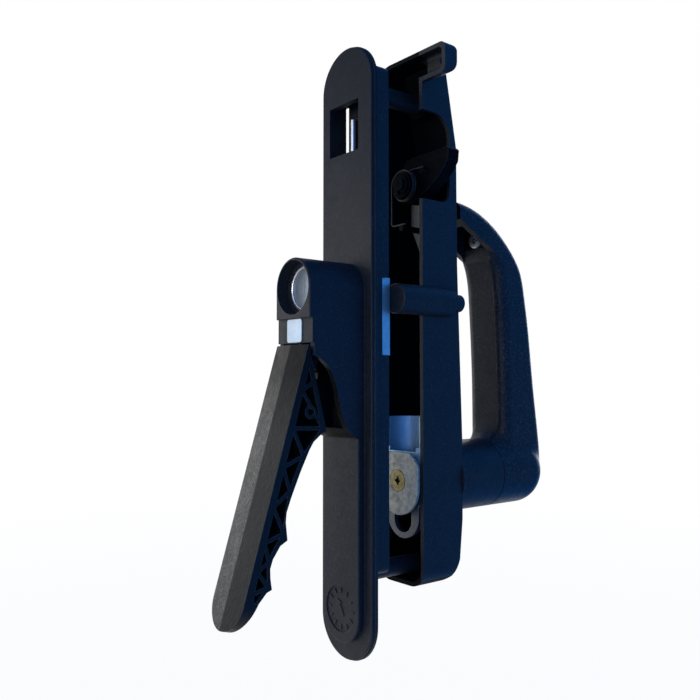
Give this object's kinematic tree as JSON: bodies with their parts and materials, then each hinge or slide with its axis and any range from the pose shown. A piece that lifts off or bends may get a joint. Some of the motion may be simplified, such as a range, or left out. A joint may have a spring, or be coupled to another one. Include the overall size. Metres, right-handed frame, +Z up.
{
  "type": "caravan door lock",
  "caption": "Two-sided caravan door lock: outside pull lever and key barrel, inside case with a hook latch driven by a loop handle.",
  "frame": {"origin": "middle of the outer plate's back face, which lies on the outside of the door", "axes": "-Y points out of the door, +Y into the caravan, +X to the door's closing edge, +Z up"},
  "size_m": [0.0515, 0.1974, 0.2927],
  "materials": {
    "black_plastic": "grained",
    "grey_plastic": "satin",
    "white_nylon": "satin",
    "label_white": "matte",
    "dark_steel": "black coated, worn at the edges",
    "cast_zinc": "as cast",
    "galvanised": "galvanised",
    "steel": "plated",
    "spring_steel": "satin",
    "bright_trim": "polished",
    "brass": "dull"
  },
  "bodies": {
    "frame": {"outer_plate": "black_plastic", "door_spigot": "black_plastic", "screw_pillars": "black_plastic", "side_post": "black_plastic", "screw_sleeves": "black_plastic", "barrel_body": "cast_zinc", "barrel_ring": "bright_trim", "barrel_plate": "galvanised", "barrel_plate_screws": "steel", "blank_label": "label_white", "slider_keeper": "galvanised", "keeper_screws": "steel", "lever_pin": "steel", "lever_spring": "spring_steel", "inner_case": "black_plastic", "post_screw": "steel", "through_screws": "steel", "thread_inserts": "brass", "hook_pin": "dark_steel", "hook_clip": "dark_steel", "hub_housing": "black_plastic", "hub_bushes": "white_nylon", "hub_screws": "steel", "hook_spring": "spring_steel"},
    "lever": {"outer_lever": "black_plastic"},
    "slider": {"outer_slider": "galvanised", "slider_rod": "galvanised"},
    "plug": {"barrel_plug": "cast_zinc", "key_shutter": "cast_zinc", "barrel_cam": "galvanised", "barrel_cam_screw": "steel"},
    "hook": {"latch_hook": "dark_steel", "hook_drive_pin": "steel"},
    "slide": {"drive_slide": "galvanised", "pull_bar": "galvanised", "slide_rivet": "galvanised"},
    "handle": {"spindle": "steel", "cam_plate": "cast_zinc", "crank_pin": "steel", "cam_screw": "brass", "spacer_washer": "steel", "handle_shell": "black_plastic", "handle_insert": "grey_plastic", "handle_screw": "steel"}
  },
  "joints": [
    {"name": "lever_pull", "type": "hinge", "parent": "frame", "child": "lever", "pos_m": [0, -0.0282, -0.0023], "axis": [-1, 0, 0], "range_deg": [-16.5, 9], "stiffness_Nm_per_rad": 0.6, "deforming": ["lever_spring"]},
    {"name": "slider_travel", "type": "slide", "parent": "frame", "child": "slider", "axis": [0, 0, 1], "range_m": [-0.0019, 0.0033]},
    {"name": "plug_turn", "type": "hinge", "parent": "frame", "child": "plug", "pos_m": [0, 0, 0.0272], "axis": [0, 1, 0], "range_deg": [0, 90]},
    {"name": "handle_turn", "type": "hinge", "parent": "frame", "child": "handle", "pos_m": [0, 0, -0.0644], "axis": [0, -1, 0], "range_deg": [0, 32.7]},
    {"name": "hook_swing", "type": "hinge", "parent": "frame", "child": "hook", "pos_m": [0, 0, 0.084], "axis": [0, -1, 0], "range_deg": [0, 49.1], "stiffness_Nm_per_rad": 0.08, "springref_deg": -68.75, "deforming": ["hook_spring"]},
    {"name": "slide_travel", "type": "slide", "parent": "frame", "child": "slide", "axis": [0, 0, 1], "range_m": [-0.0067, 0.0001]}
  ],
  "couplings": [
    {"joint": "slider_travel", "follows": "lever_pull", "m_per_rad": -0.01095},
    {"joint": "hook_swing", "follows": "handle_turn", "ratio": 1.4985},
    {"joint": "slide_travel", "follows": "handle_turn", "m_per_rad": -0.011626}
  ]
}
